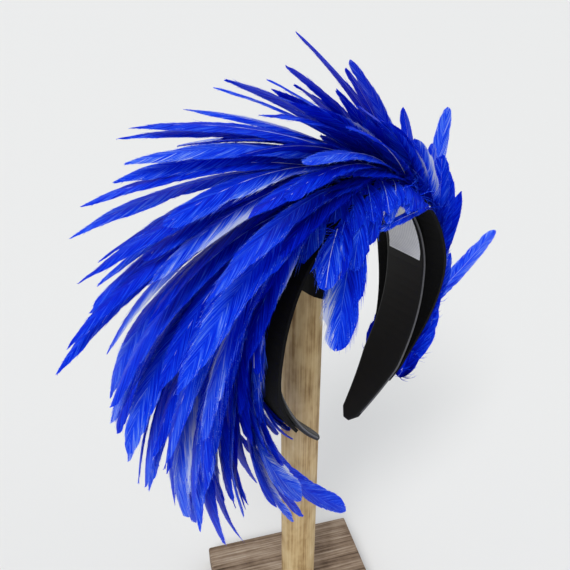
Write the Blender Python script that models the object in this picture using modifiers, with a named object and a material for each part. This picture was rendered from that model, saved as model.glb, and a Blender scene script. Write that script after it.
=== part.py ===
"""A feather headband resting on its wooden stand. Metres, +Z up, the stand's underside at Z = 0.

The headband is an arch from ear to ear in a plane square to Y. Shares along the arch run from 0 at the tip
of the near arm (-X) over the crown at 0.5 to 1 at the tip of the far arm (+X).
"""

import math
import random

import bmesh
import bpy
from mathutils import Matrix, Vector

# Stand
BASE_SIDE = 0.125
BASE_THICKNESS = 0.018
BASE_EDGE = 0.0015
BASE_TURN = -23
POST_DIAMETER = 0.025
POST_LENGTH = 0.297
POST_EDGE = 0.0006
POST_SIDES = 40
CAP_HEIGHT = 0.059
CAP_ROOM = 0.036  # between each side of the cap and the band at its widest
CAP_RIM = 0.0015  # the cap's back beyond the post
CAP_FRONT = 0.004  # the cap's front behind the band's
CAP_FLAT = 0.001  # the flat on top, between the rounded edges
SEAT_GAP = 0.0003

# Band: the inner face of the arch
ARCH_HALF_WIDTH = 0.052  # at its widest
ARCH_RISE = 0.064  # from the widest place up to the crown
ARCH_DROP = 0.091  # from the widest place down to the tips
ARCH_TIP_INSET = 0.041  # how far each tip comes in from the widest place
ARCH_AHEAD = 0.030  # the arch's plane lies this far in front of the post
CROWN_FULLNESS = 0.50  # the arch's Bezier handles, as shares of the size that each lies along
SHOULDER_FULLNESS = 0.47
ARM_STRAIGHTNESS = 0.38
ARM_BOW = 0.05
TIP_REACH = 0.30
TIP_BOW = 0.64
ARCH_STEPS = 60  # in each quarter of the curve
FLOW_STEP = 0.004  # share of the arch over which its direction is read
BAND_WIDTH = 0.028
BAND_TIP_WIDTH = 0.011
BAND_TAPER = 0.044  # length of each tapered end
BAND_THICKNESS = 0.003
BAND_EDGE = 0.0011
BAND_EDGE_ANGLE = 50  # corners turn by more than this, the tips' rounding by less
BAND_TIP_BLUNTNESS = 0.35  # half width left at the very tip, as a share
BAND_STEP = 0.0054

# Backing: the felt strip on the band's outer face
BACKING_THICKNESS = 0.002
BACKING_OVERHANG = 0.013  # beyond each edge of the band at the crown
BACKING_ENDS = 0.088  # share of the arch left bare at each end
BACKING_NARROWS = (0.36, 0.84)  # where its overhang starts to shrink and is gone, from the crown to a tip
BACKING_STEP = 0.0057

# Label on the inner face
LABEL_LENGTH = 0.046
LABEL_THICKNESS = 0.001
LABEL_INSET = 0.0025
LABEL_END = 0.70  # share along the arch of its lower end
LABEL_STEP = 0.0033

# Plumage
FEATHER_LENGTH = 0.120
FEATHER_WIDTH = 0.019
FEATHER_THICKNESS = 0.0012
FEATHER_CUP = 0.16  # how far a blade's edges lie below its shaft, as a share of its half width
QUILL_THICKNESS = 0.0030  # the glued strip of quills under the feathers
QUILL_HALF_WIDTH = 0.016
QUILL_ENDS = (0.12, 0.905)
QUILL_STEP = 0.0069
ROW_PITCH = 0.0185
ROW_SPACING = 0.0135  # between the feathers of a row
ROW_FILL = 0.85  # share of the quill strip that a row spreads over
ROW_ROLL = 12
ROW_LENGTHS = (0.90, 1.00)  # each feather's own variation, as shares and in degrees
ROW_WIDTHS = (0.92, 1.06)
ROW_ANGLE = 2
ROW_SEED = 5
SPRAY_STAGGER = 0.25  # a spray's quills lie to both sides of the strip's middle, as a share
STRAY_PLACE = 0.30
FORELOCK_QUILL = 0.0032
FORELOCK_SPAN = (0.42, 0.605)
FORELOCK_STEPS = 20

# Sections of the plumage along the arch. Lengths and widths are shares of a full feather, angles are
# degrees: rise is away from the band, fan opens a row to both sides, lean turns the whole row to the front,
# and back moves the quill strip's middle to the rear by a share of its half width.
SECTIONS = (
    dict(share=0.15, length=0.42, width=0.70, rise=14, curl=30, fan=6, lean=-8, back=0.55),
    dict(share=0.22, length=0.78, width=0.84, rise=24, curl=42, fan=7, lean=-1, back=0.60),
    dict(share=0.32, length=0.98, width=0.95, rise=32, curl=56, fan=9, lean=4, back=0.45),
    dict(share=0.42, length=0.98, width=1.00, rise=34, curl=56, fan=9, lean=2, back=0.0),
    dict(share=0.50, length=0.90, width=0.98, rise=21, curl=40, fan=14, lean=6, back=-0.35),
    dict(share=0.58, length=0.82, width=0.86, rise=12, curl=36, fan=12, lean=4, back=-0.30),
    dict(share=0.66, length=0.68, width=0.76, rise=10, curl=28, fan=9, lean=0, back=-0.05),
    dict(share=0.76, length=0.48, width=0.68, rise=9, curl=22, fan=9, lean=-2, back=0.0),
    dict(share=0.895, length=0.28, width=0.62, rise=18, curl=14, fan=9, lean=-2, back=0.0),
)

# Sprays of longer feathers. Each pair holds the value of the spray's first and last feather.
SPRAYS = (
    dict(count=2, share=(0.76, 0.72), length=(0.70, 0.73), rise=(14, 12), side=(3, 4),
         width=0.55, roll=0, curl=26),
    dict(count=2, share=(0.66, 0.645), length=(0.87, 0.80), rise=(10, 12), side=(4, 0),
         width=0.50, roll=0, curl=28),
    dict(count=2, share=(0.61, 0.61), length=(0.93, 0.84), rise=(15, 10), side=(6, 6),
         width=0.58, roll=0, curl=29),
    dict(count=3, share=(0.585, 0.555), length=(0.84, 0.92), rise=(8, 5), side=(6, 16),
         width=0.52, roll=-14, curl=26),
    dict(count=4, share=(0.54, 0.51), length=(1.08, 1.03), rise=(9, 18), side=(8, 0),
         width=0.60, roll=-14, curl=32),
    dict(count=3, share=(0.49, 0.478), length=(1.06, 1.08), rise=(33, 30), side=(4, 0),
         width=0.62, roll=0, curl=40),
    dict(count=2, share=(0.462, 0.454), length=(1.14, 1.18), rise=(34, 34), side=(0, -2),
         width=0.62, roll=0, curl=50),
    dict(count=5, share=(0.438, 0.37), length=(1.08, 1.05), rise=(38, 40), side=(-4, -6),
         width=0.80, roll=0, curl=62),
    dict(count=4, share=(0.33, 0.27), length=(1.08, 1.18), rise=(34, 34), side=(-5, -7),
         width=1.00, roll=0, curl=60),
    dict(count=2, share=(0.225, 0.205), length=(1.02, 1.12), rise=(16, 14), side=(-8, -4),
         width=0.50, roll=0, curl=38),
    dict(count=2, share=(0.20, 0.16), length=(0.84, 1.18), rise=(22, 19), side=(-9, -8),
         width=0.95, roll=36, curl=50),
)

# Single feathers that stand off the far arm
STRAYS = (
    dict(share=0.76, length=0.88, rise=31, side=12, width=0.70, curl=14, roll=0),
    dict(share=0.86, length=1.10, rise=56, side=11, width=0.74, curl=14, roll=0),
)

# Locks that hang in front of the opening from the backing's front edge, placed along their quill cord
FORELOCKS = (
    dict(at=0.92, length=0.32, rise=-42, side=-6, width=0.30, curl=10, roll=-38),
    dict(at=0.76, length=0.16, rise=-36, side=-28, width=0.36, curl=10, roll=-38),
    dict(at=0.57, length=0.18, rise=-50, side=-28, width=0.40, curl=10, roll=-38),
    dict(at=0.39, length=0.24, rise=-56, side=-24, width=0.48, curl=10, roll=-38),
    dict(at=0.18, length=0.57, rise=-48, side=-18, width=0.96, curl=6, roll=-28),
    dict(at=0.27, length=0.28, rise=-40, side=-20, width=0.56, curl=12, roll=-38),
    dict(at=0.11, length=0.26, rise=-2, side=-28, width=0.66, curl=20, roll=-10),
    dict(at=0.04, length=0.26, rise=8, side=-30, width=0.64, curl=20, roll=-10),
)

# Half width of a feather along its length, as shares of its greatest
OUTLINE = ((0.0, 0.16), (0.10, 0.34), (0.28, 0.78), (0.55, 1.0), (0.78, 0.84), (0.92, 0.50), (1.0, 0.12))

capBottom = BASE_THICKNESS + POST_LENGTH + 2 * SEAT_GAP
archBottom = capBottom + CAP_HEIGHT + SEAT_GAP - ARCH_RISE - ARCH_DROP
bandOuter = BAND_THICKNESS
backingInner = bandOuter + SEAT_GAP
backingOuter = backingInner + BACKING_THICKNESS
quillInner = backingOuter + SEAT_GAP
quillMiddle = quillInner + QUILL_THICKNESS / 2


def clearScene():
    for thing in list(bpy.data.objects):
        bpy.data.objects.remove(thing, do_unlink=True)


def newCollection(name):
    collection = bpy.data.collections.new(name)
    bpy.context.scene.collection.children.link(collection)
    return collection


def newMaterial(name, colour, roughness, metallic=0.0):
    material = bpy.data.materials.new(name)
    material.use_nodes = True
    surface = material.node_tree.nodes["Principled BSDF"]
    surface.inputs["Base Color"].default_value = (*colour, 1)
    surface.inputs["Roughness"].default_value = roughness
    surface.inputs["Metallic"].default_value = metallic
    material.diffuse_color = (*colour, 1)
    return material


def addObject(name, bm, collection, material):
    mesh = bpy.data.meshes.new(name)
    bm.normal_update()
    bm.to_mesh(mesh)
    bm.free()
    mesh.materials.append(material)
    made = bpy.data.objects.new(name, mesh)
    collection.objects.link(made)
    return made


def mix(pair, share):
    return pair[0] + (pair[1] - pair[0]) * share


def lookUp(rows, at):
    """Reads a table of (at, value) rows between its rows."""
    if at <= rows[0][0]:
        return rows[0][1]
    for (a, low), (b, high) in zip(rows, rows[1:]):
        if at <= b:
            return low + (high - low) * (at - a) / (b - a)
    return rows[-1][1]


def bezierPoints(corners, count):
    points = []
    for i in range(count + 1):
        t = i / count
        weights = ((1 - t) ** 3, 3 * (1 - t) ** 2 * t, 3 * (1 - t) * t**2, t**3)
        points.append(sum((w * Vector(c) for w, c in zip(weights, corners)), Vector((0, 0))))
    return points


class Arch:
    """The inner face of the band as a curve in X and Z, read by its share from tip to tip."""

    def __init__(self):
        wideZ = archBottom + ARCH_DROP
        crown, side = (0, wideZ + ARCH_RISE), (ARCH_HALF_WIDTH, wideZ)
        tip = (ARCH_HALF_WIDTH - ARCH_TIP_INSET, archBottom)
        upper = (
            crown,
            (CROWN_FULLNESS * ARCH_HALF_WIDTH, crown[1]),
            (side[0], wideZ + SHOULDER_FULLNESS * ARCH_RISE),
            side,
        )
        lower = (
            side,
            (side[0] + ARM_BOW * ARCH_TIP_INSET, wideZ - ARM_STRAIGHTNESS * ARCH_DROP),
            (tip[0] + TIP_BOW * ARCH_TIP_INSET, archBottom + TIP_REACH * ARCH_DROP),
            tip,
        )
        half = bezierPoints(upper, ARCH_STEPS) + bezierPoints(lower, ARCH_STEPS)[1:]
        mirrored = [Vector((-p.x, p.y)) for p in reversed(half)]
        self.points = mirrored + half[1:]
        self.reach = [0.0]
        for a, b in zip(self.points, self.points[1:]):
            self.reach.append(self.reach[-1] + (b - a).length)
        self.length = self.reach[-1]

    def at(self, share):
        away = min(max(share, 0), 1) * self.length
        last = len(self.points) - 2
        i = next((k for k in range(last) if self.reach[k + 1] >= away), last)
        part = (away - self.reach[i]) / (self.reach[i + 1] - self.reach[i])
        return self.points[i].lerp(self.points[i + 1], part)

    def frame(self, share):
        """The flow towards the near tip, and the direction away from the head."""
        ahead, behind = self.at(share - FLOW_STEP), self.at(share + FLOW_STEP)
        flow = Vector((ahead.x - behind.x, 0, ahead.y - behind.y)).normalized()
        return flow, Vector((flow.z, 0, -flow.x))

    def place(self, share, out, across):
        """A point this far outside the inner face, and this far behind the arch's middle plane."""
        p = self.at(share)
        return Vector((p.x, across - ARCH_AHEAD, p.y)) + self.frame(share)[1] * out


def bandHalfWidth(arch, share):
    fromTip = max(min(share, 1 - share), 0) * arch.length
    taper = min(1.0, fromTip / BAND_TAPER)
    half = mix((BAND_TIP_WIDTH, BAND_WIDTH), taper) / 2
    rounding = BAND_TIP_WIDTH / 2
    if fromTip < rounding:
        half *= mix((BAND_TIP_BLUNTNESS, 1), math.sqrt(1 - (1 - fromTip / rounding) ** 2))
    return half


def backingHalfWidth(arch, share):
    start, end = BACKING_NARROWS
    fromCrown = abs(2 * share - 1)
    left = min(max((end - fromCrown) / (end - start), 0), 1)
    return bandHalfWidth(arch, share) - BAND_EDGE + BACKING_OVERHANG * left * left * (3 - 2 * left)


def labelHalfWidth(arch, share):
    return BAND_WIDTH / 2 - LABEL_INSET


def quillHalfWidth(arch, share):
    room = backingHalfWidth(arch, share) - abs(quillMiddlePlace(share))
    return min(QUILL_HALF_WIDTH * (1 - section(share, "back")), room)


def quillMiddlePlace(share):
    return QUILL_HALF_WIDTH * section(share, "back")


def archStrip(
    arch, name, out, thickness, halfWidth, span, step, collection, material, edge=0.0, middle=None
):
    """A strip that follows the arch, its middle surface this far outside the inner face."""
    steps = round((span[1] - span[0]) * arch.length / step)
    bm = bmesh.new()
    bmesh.ops.create_grid(bm, x_segments=steps, y_segments=1, size=1)
    for vert in bm.verts:
        share = mix(span, (vert.co.x + 1) / 2)
        across = vert.co.y * halfWidth(arch, share) + (middle(share) if middle else 0)
        vert.co = arch.place(share, out, across)
    strip = addObject(name, bm, collection, material)
    solid = strip.modifiers.new("thickness", "SOLIDIFY")
    solid.thickness = thickness
    solid.offset = 0
    if edge:
        bevel = strip.modifiers.new("edge", "BEVEL")
        bevel.width = edge
        bevel.segments = 2
        bevel.limit_method = "ANGLE"
        bevel.angle_limit = math.radians(BAND_EDGE_ANGLE)
    return strip


def feather(bm, root, start, away, length, width, curl, roll):
    """Adds one open feather blade that leaves root along start and curls back against away."""
    axis = start.cross(-away).normalized()
    count = len(OUTLINE) - 1
    before = set(bm.verts)
    bmesh.ops.create_grid(bm, x_segments=count, y_segments=2, size=1)
    verts = [v for v in bm.verts if v not in before]
    points, frames = [root], []
    for i, (share, _) in enumerate(OUTLINE):
        heading = Matrix.Rotation(curl * share, 3, axis) @ start
        if i < count:
            points.append(points[-1] + heading * (OUTLINE[i + 1][0] - share) * length)
        across = Matrix.Rotation(roll, 3, heading) @ heading.cross(away).normalized()
        frames.append((across, across.cross(heading)))
    for vert in verts:
        i = round((vert.co.x + 1) / 2 * count)
        half = OUTLINE[i][1] * width / 2
        across, face = frames[i]
        vert.co = points[i] + across * vert.co.y * half - face * abs(vert.co.y) * half * FEATHER_CUP


def plantFeather(bm, arch, share, out, across, length, width, rise, side, curl, roll):
    """Plants a feather on the arch. Lengths and widths are shares of a full feather, angles are degrees."""
    flow, away = arch.frame(share)
    rise, side = math.radians(rise), math.radians(side)
    along = math.cos(side) * flow + math.sin(side) * Vector((0, 1, 0))
    start = math.cos(rise) * along + math.sin(rise) * away
    feather(
        bm,
        arch.place(share, out, across),
        start,
        away,
        length * FEATHER_LENGTH,
        width * FEATHER_WIDTH,
        math.radians(curl),
        math.radians(roll),
    )


def section(share, column):
    return lookUp([(row["share"], row[column]) for row in SECTIONS], share)


def plantRows(bm, arch):
    rng = random.Random(ROW_SEED)
    last, first = SECTIONS[-1]["share"], SECTIONS[0]["share"]
    count = int((last - first) * arch.length / ROW_PITCH)
    for i in range(count + 1):
        share = last - (last - first) * i / count
        half = quillHalfWidth(arch, share)
        gaps = max(1, round(2 * ROW_FILL * half / ROW_SPACING) - 1 + i % 2)
        for j in range(gaps + 1):
            place = ROW_FILL * (2 * j / gaps - 1)
            side = place * section(share, "fan") - section(share, "lean")
            plantFeather(
                bm,
                arch,
                share=share,
                out=quillMiddle,
                across=quillMiddlePlace(share) + place * half,
                length=section(share, "length") * rng.uniform(*ROW_LENGTHS),
                width=section(share, "width") * rng.uniform(*ROW_WIDTHS),
                rise=section(share, "rise") + rng.uniform(-ROW_ANGLE, ROW_ANGLE),
                side=side + rng.uniform(-ROW_ANGLE, ROW_ANGLE),
                curl=section(share, "curl") + rng.uniform(-ROW_ANGLE, ROW_ANGLE),
                roll=ROW_ROLL,
            )


def plantSprays(bm, arch):
    for row in SPRAYS:
        for i in range(row["count"]):
            part = i / (row["count"] - 1)
            share = mix(row["share"], part)
            stagger = SPRAY_STAGGER if i % 2 else -SPRAY_STAGGER
            plantFeather(
                bm,
                arch,
                share=share,
                out=quillMiddle,
                across=quillMiddlePlace(share) + stagger * quillHalfWidth(arch, share),
                length=mix(row["length"], part),
                width=row["width"],
                rise=mix(row["rise"], part),
                side=mix(row["side"], part),
                curl=row["curl"],
                roll=row["roll"],
            )
    for row in STRAYS:
        plantFeather(bm, arch, out=quillMiddle, across=QUILL_HALF_WIDTH * STRAY_PLACE, **row)


def fuseFeathers(head, bm, cutters, material):
    """Gives the open blades their thickness and joins them to the head as one body."""
    blades = addObject(head.name + "_blades", bm, cutters, material)
    blades.hide_render = True
    blades.display_type = "WIRE"
    solid = blades.modifiers.new("thickness", "SOLIDIFY")
    solid.thickness = FEATHER_THICKNESS
    solid.offset = 0
    join = head.modifiers.new("join", "BOOLEAN")
    join.operation = "UNION"
    join.object = blades
    join.solver = "EXACT"
    join.use_self = True


def makeStand(parts):
    oldWood = newMaterial("weathered_wood", (0.20, 0.15, 0.11), 0.85)
    wood = newMaterial("post_wood", (0.52, 0.38, 0.22), 0.65)
    black = newMaterial("cap_black", (0.012, 0.012, 0.013), 0.8)

    bm = bmesh.new()
    bmesh.ops.create_cube(bm, size=1)
    bmesh.ops.scale(bm, vec=(BASE_SIDE, BASE_SIDE, BASE_THICKNESS), verts=bm.verts)
    base = addObject("stand_base", bm, parts, oldWood)
    base.location = (0, 0, BASE_THICKNESS / 2)
    base.rotation_euler = (0, 0, math.radians(BASE_TURN))
    edge = base.modifiers.new("edge", "BEVEL")
    edge.width = BASE_EDGE
    edge.segments = 2

    bm = bmesh.new()
    radius = POST_DIAMETER / 2
    bmesh.ops.create_cone(
        bm, cap_ends=True, segments=POST_SIDES, radius1=radius, radius2=radius, depth=POST_LENGTH
    )
    post = addObject("stand_post", bm, parts, wood)
    post.location = (0, 0, BASE_THICKNESS + SEAT_GAP + POST_LENGTH / 2)
    edge = post.modifiers.new("edge", "BEVEL")
    edge.width = POST_EDGE
    edge.segments = 1
    edge.limit_method = "ANGLE"

    width = 2 * (ARCH_HALF_WIDTH - CAP_ROOM)
    back = POST_DIAMETER / 2 + CAP_RIM
    front = -(ARCH_AHEAD + BAND_WIDTH / 2 - CAP_FRONT)
    bm = bmesh.new()
    bmesh.ops.create_cube(bm, size=1)
    bmesh.ops.scale(bm, vec=(width, back - front, CAP_HEIGHT), verts=bm.verts)
    rounded = [e for e in bm.edges if max(v.co.z for v in e.verts) > 0]
    bmesh.ops.bevel(
        bm, geom=rounded, offset=(width - CAP_FLAT) / 2, segments=6, profile=0.5, affect="EDGES", material=-1
    )
    cap = addObject("stand_cap", bm, parts, black)
    cap.location = (0, (back + front) / 2, capBottom + CAP_HEIGHT / 2)


def makeHeadband(parts, cutters):
    fabric = newMaterial("band_fabric", (0.010, 0.010, 0.012), 0.6)
    felt = newMaterial("backing_felt", (0.008, 0.008, 0.009), 0.95)
    cloth = newMaterial("label_cloth", (0.85, 0.85, 0.86), 0.5)
    plume = newMaterial("dyed_feather", (0.005, 0.03, 0.62), 0.5)
    arch = Arch()

    archStrip(
        arch, "band", BAND_THICKNESS / 2, BAND_THICKNESS, bandHalfWidth, (0, 1), BAND_STEP, parts, fabric,
        edge=BAND_EDGE,
    )
    archStrip(
        arch, "backing", (backingInner + backingOuter) / 2, BACKING_THICKNESS, backingHalfWidth,
        (BACKING_ENDS, 1 - BACKING_ENDS), BACKING_STEP, parts, felt,
    )
    labelStart = LABEL_END - LABEL_LENGTH / arch.length
    archStrip(
        arch, "label", -SEAT_GAP - LABEL_THICKNESS / 2, LABEL_THICKNESS, labelHalfWidth,
        (labelStart, LABEL_END), LABEL_STEP, parts, cloth,
    )

    quills = archStrip(
        arch, "plumage", quillMiddle, QUILL_THICKNESS, quillHalfWidth, QUILL_ENDS, QUILL_STEP, parts, plume,
        middle=quillMiddlePlace,
    )
    bm = bmesh.new()
    plantRows(bm, arch)
    plantSprays(bm, arch)
    fuseFeathers(quills, bm, cutters, plume)

    makeForelocks(arch, parts, cutters, plume)


def makeForelocks(arch, parts, cutters, plume):
    """Locks on a quill cord glued to the backing's front edge."""
    out = (backingInner + backingOuter) / 2
    radius = FORELOCK_QUILL / 2

    def front(share):
        return -(backingHalfWidth(arch, share) + SEAT_GAP + radius)

    curve = bpy.data.curves.new("forelock_quill", "CURVE")
    curve.dimensions = "3D"
    curve.bevel_depth = radius
    curve.bevel_resolution = 2
    curve.use_fill_caps = True
    spline = curve.splines.new("POLY")
    spline.points.add(FORELOCK_STEPS)
    for i, point in enumerate(spline.points):
        share = mix(FORELOCK_SPAN, i / FORELOCK_STEPS)
        point.co = (*arch.place(share, out, front(share)), 1)
    cord = bpy.data.objects.new("forelock_quill", curve)
    parts.objects.link(cord)
    depsgraph = bpy.context.evaluated_depsgraph_get()
    mesh = bpy.data.meshes.new_from_object(cord.evaluated_get(depsgraph))
    bpy.data.objects.remove(cord, do_unlink=True)
    bm = bmesh.new()
    bm.from_mesh(mesh)
    bmesh.ops.remove_doubles(bm, verts=bm.verts, dist=1e-6)
    head = addObject("forelock", bm, parts, plume)

    bm = bmesh.new()
    for row in FORELOCKS:
        lock = dict(row)
        share = mix(FORELOCK_SPAN, lock.pop("at"))
        plantFeather(bm, arch, share=share, out=out, across=front(share), **lock)
    fuseFeathers(head, bm, cutters, plume)


def main():
    clearScene()
    parts = newCollection("feather_headband")
    cutters = newCollection("cutters")
    makeStand(parts)
    makeHeadband(parts, cutters)


main()
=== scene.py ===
import math

import bmesh
import bpy
import numpy as np
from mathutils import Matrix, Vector


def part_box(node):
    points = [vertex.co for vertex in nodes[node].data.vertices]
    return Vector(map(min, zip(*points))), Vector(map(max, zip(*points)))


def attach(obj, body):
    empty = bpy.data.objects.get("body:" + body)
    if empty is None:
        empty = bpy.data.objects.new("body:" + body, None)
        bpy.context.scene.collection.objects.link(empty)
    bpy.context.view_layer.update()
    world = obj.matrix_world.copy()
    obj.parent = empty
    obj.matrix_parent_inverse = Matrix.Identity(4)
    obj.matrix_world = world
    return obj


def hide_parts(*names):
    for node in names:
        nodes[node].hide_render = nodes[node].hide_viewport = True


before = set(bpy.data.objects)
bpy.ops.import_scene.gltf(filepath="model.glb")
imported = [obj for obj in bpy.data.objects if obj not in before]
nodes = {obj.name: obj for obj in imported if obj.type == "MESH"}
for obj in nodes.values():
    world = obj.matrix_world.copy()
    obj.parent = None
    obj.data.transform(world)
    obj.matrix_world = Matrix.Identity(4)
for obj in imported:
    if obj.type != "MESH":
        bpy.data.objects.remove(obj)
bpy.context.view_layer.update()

# camera, measured against the photograph's own frame
photoCamera = dict(
    turn=38.0,  # degrees to the left of straight in front
    down=29.3,
    distance=0.352,
    lens=38.21,
    sensor=36.0,
    nearest=0.01,
    lookHeight=0.2969,
    shiftRight=-0.0099,
    shiftUp=0.0070,
)


def makeCamera():
    s = photoCamera
    turn, down = math.radians(s["turn"]), math.radians(s["down"])
    level = math.cos(down)
    heading = Vector((math.sin(turn) * level, math.cos(turn) * level, -math.sin(down)))
    right = Vector((math.cos(turn), -math.sin(turn), 0))
    up = right.cross(heading)
    data = bpy.data.cameras.new("photoCamera")
    data.lens = s["lens"]
    data.sensor_width = s["sensor"]
    data.clip_start = s["nearest"]
    camera = bpy.data.objects.new("photoCamera", data)
    camera.location = Vector((0, 0, s["lookHeight"])) + right * s["shiftRight"] + up * s["shiftUp"]
    camera.location -= heading * s["distance"]
    camera.rotation_euler = heading.to_track_quat("-Z", "Y").to_euler()
    bpy.context.scene.collection.objects.link(camera)
    bpy.context.scene.camera = camera


# small helpers
def hexColour(text):
    channels = [int(text[i : i + 2], 16) / 255 for i in (1, 3, 5)]
    linear = [c / 12.92 if c <= 0.04045 else ((c + 0.055) / 1.055) ** 2.4 for c in channels]
    return (*linear, 1.0)


def addNode(tree, kind, settings=None, links=None):
    node = tree.nodes.new(kind)
    for name, value in (settings or {}).items():
        if isinstance(name, int) or name in node.inputs:
            node.inputs[name].default_value = value
        else:
            setattr(node, name, value)
    for name, socket in (links or {}).items():
        tree.links.new(socket, node.inputs[name])
    return node


def newMaterial(name):
    material = bpy.data.materials.new(name)
    material.use_nodes = True
    tree = material.node_tree
    tree.nodes.clear()
    return material, tree


def setRamp(node, stops):
    ramp = node.color_ramp
    while len(ramp.elements) < len(stops):
        ramp.elements.new(0.5)
    for element, (at, colour) in zip(ramp.elements, stops):
        element.position = at
        element.color = hexColour(colour)


def newPiece(name, mesh, material, body="root"):
    mesh.materials.append(material)
    piece = bpy.data.objects.new(name, mesh)
    bpy.context.scene.collection.objects.link(piece)
    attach(piece, body)
    return piece


def meshFrom(bm, name):
    mesh = bpy.data.meshes.new(name)
    bm.to_mesh(mesh)
    bm.free()
    return mesh


def unit(v):
    return v / np.maximum(np.linalg.norm(v, axis=-1, keepdims=True), 1e-12)


# studio
studio = dict(
    floorSize=40.0,
    floorColour="#E6E5E2",
    floorRoughness=0.9,
    worldColour="#E2E6EC",
    worldStrength=0.68,
    # name, direction that it shines from, width in degrees, strength in W/m2
    suns=(
        ("key", (-0.75, -0.55, 1.00), 24.0, 1.55),
        ("fill", (0.95, -0.80, 0.75), 50.0, 0.30),
        ("rim", (0.25, 1.05, 1.10), 30.0, 0.55),
    ),
)


def makeStudio():
    s = studio
    world = bpy.data.worlds.new("softStudio")
    world.use_nodes = True
    background = world.node_tree.nodes["Background"]
    background.inputs["Color"].default_value = hexColour(s["worldColour"])
    background.inputs["Strength"].default_value = s["worldStrength"]
    bpy.context.scene.world = world
    for name, source, width, strength in s["suns"]:
        data = bpy.data.lights.new(name, "SUN")
        data.angle = math.radians(width)
        data.energy = strength
        light = bpy.data.objects.new(name, data)
        light.location = source
        light.rotation_euler = Vector(source).to_track_quat("Z", "Y").to_euler()
        bpy.context.scene.collection.objects.link(light)
    bm = bmesh.new()
    bmesh.ops.create_grid(bm, x_segments=1, y_segments=1, size=s["floorSize"])
    mesh = meshFrom(bm, "floor")
    floor = bpy.data.objects.new("floor", mesh)
    bpy.context.scene.collection.objects.link(floor)
    # paper roll: pale and matt, so it shows the object's shadow and no gleam
    material, tree = newMaterial("paper backdrop, matt")
    shader = addNode(
        tree, "ShaderNodeBsdfPrincipled",
        {"Base Color": hexColour(s["floorColour"]), "Roughness": s["floorRoughness"]},
    )
    addNode(tree, "ShaderNodeOutputMaterial", links={"Surface": shader.outputs["BSDF"]})
    mesh.materials.append(material)
    bpy.context.scene.view_settings.view_transform = "Standard"
    print("studio done")


# the arch: the band's inner face, which everything follows
archShape = dict(
    halfWidth=0.052,
    rise=0.064,
    drop=0.091,
    tipInset=0.041,
    bandThickness=0.003,
    crownFullness=0.50,
    shoulderFullness=0.47,
    armStraightness=0.38,
    armBow=0.05,
    tipReach=0.30,
    tipBow=0.64,
    steps=60,
    flowStep=0.004,
)


def bezier(corners, count):
    t = np.linspace(0, 1, count + 1)[:, None]
    a, b, c, d = (np.array(p) for p in corners)
    return (1 - t) ** 3 * a + 3 * (1 - t) ** 2 * t * b + 3 * (1 - t) * t**2 * c + t**3 * d


def makeArch():
    s = archShape
    low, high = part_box("band")
    crown = high.z - s["bandThickness"]
    wide = crown - s["rise"]
    bottom = wide - s["drop"]
    side, tip = (s["halfWidth"], wide), (s["halfWidth"] - s["tipInset"], bottom)
    upper = (
        (0, crown),
        (s["crownFullness"] * side[0], crown),
        (side[0], wide + s["shoulderFullness"] * s["rise"]),
        side,
    )
    lower = (
        side,
        (side[0] + s["armBow"] * s["tipInset"], wide - s["armStraightness"] * s["drop"]),
        (tip[0] + s["tipBow"] * s["tipInset"], bottom + s["tipReach"] * s["drop"]),
        tip,
    )
    half = np.concatenate([bezier(upper, s["steps"]), bezier(lower, s["steps"])[1:]])
    points = np.concatenate([half[:0:-1] * (-1, 1), half])
    reach = np.concatenate([[0], np.cumsum(np.linalg.norm(np.diff(points, axis=0), axis=1))])
    middleY = (low.y + high.y) / 2
    return dict(points=points, reach=reach / reach[-1], length=reach[-1], middleY=middleY)


arch = makeArch()


def archAt(share):
    return np.array([np.interp(share, arch["reach"], arch["points"][:, i]) for i in (0, 1)])


def archFrame(share):  # the flow towards the near tip, and the direction away from the head
    step = archShape["flowStep"]
    dx, dz = archAt(share - step) - archAt(share + step)
    flow = unit(np.array((dx, 0, dz)))
    return flow, np.array((flow[2], 0, -flow[0]))


def archPlace(share, out, across):
    x, z = archAt(share)
    return np.array((x, arch["middleY"] + across, z)) + archFrame(share)[1] * out


# strands and vanes: closed slivers and thin lens-shaped sheets, joined into one mesh for each piece
# barb coordinates, in millimetres: how far up the shaft a barb starts, and how far out along it
# a point is
creaseAngle = 40.0  # degrees; sharper edges than this aren't smoothed


def newStore():
    return dict(verts=[], tris=[], dye=[], barb=[], count=0)


def addToStore(store, verts, tris, dye, barb):
    store["verts"].append(verts.reshape(-1, 3))
    store["tris"].append(tris.reshape(-1, 3) + store["count"])
    store["dye"].append(dye.reshape(-1))
    store["barb"].append(barb.reshape(-1, 2) * 1000)
    store["count"] += store["verts"][-1].shape[0]


def addStrands(store, paths, upright, halfWidth, taper, ridge, tilt, dye, barb):
    count, steps = paths.shape[:2]
    along = unit(np.gradient(paths, axis=1))
    wide = unit(np.cross(upright, along))
    tall = np.cross(along, wide)
    c, s = np.cos(tilt)[:, None, None], np.sin(tilt)[:, None, None]
    wide = wide * c + tall * s
    tall = np.cross(along, wide)
    half = (halfWidth[:, None] * taper)[:, :, None]
    corners = (paths - wide * half, paths + wide * half, paths + tall * half * ridge)
    ring = np.stack(corners, axis=2)[:, :-1]
    verts = np.concatenate([ring.reshape(count, -1, 3), paths[:, -1:]], axis=1)
    tris = [(0, 2, 1)]
    for k in range(steps - 2):
        for i, j in ((0, 1), (1, 2), (2, 0)):
            a, b = 3 * k + i, 3 * k + j
            tris += [(a, b, b + 3), (a, b + 3, a + 3)]
    last = 3 * (steps - 2)
    tris += [(last + i, last + j, last + 3) for i, j in ((0, 1), (1, 2), (2, 0))]
    starts = np.arange(count)[:, None, None] * verts.shape[1]
    dye, barb = (
        np.concatenate([np.repeat(a[:, :-1], 3, axis=1), a[:, -1:]], axis=1) for a in (dye, barb)
    )
    addToStore(store, verts, np.array(tris)[None] + starts, dye, barb)


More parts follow.
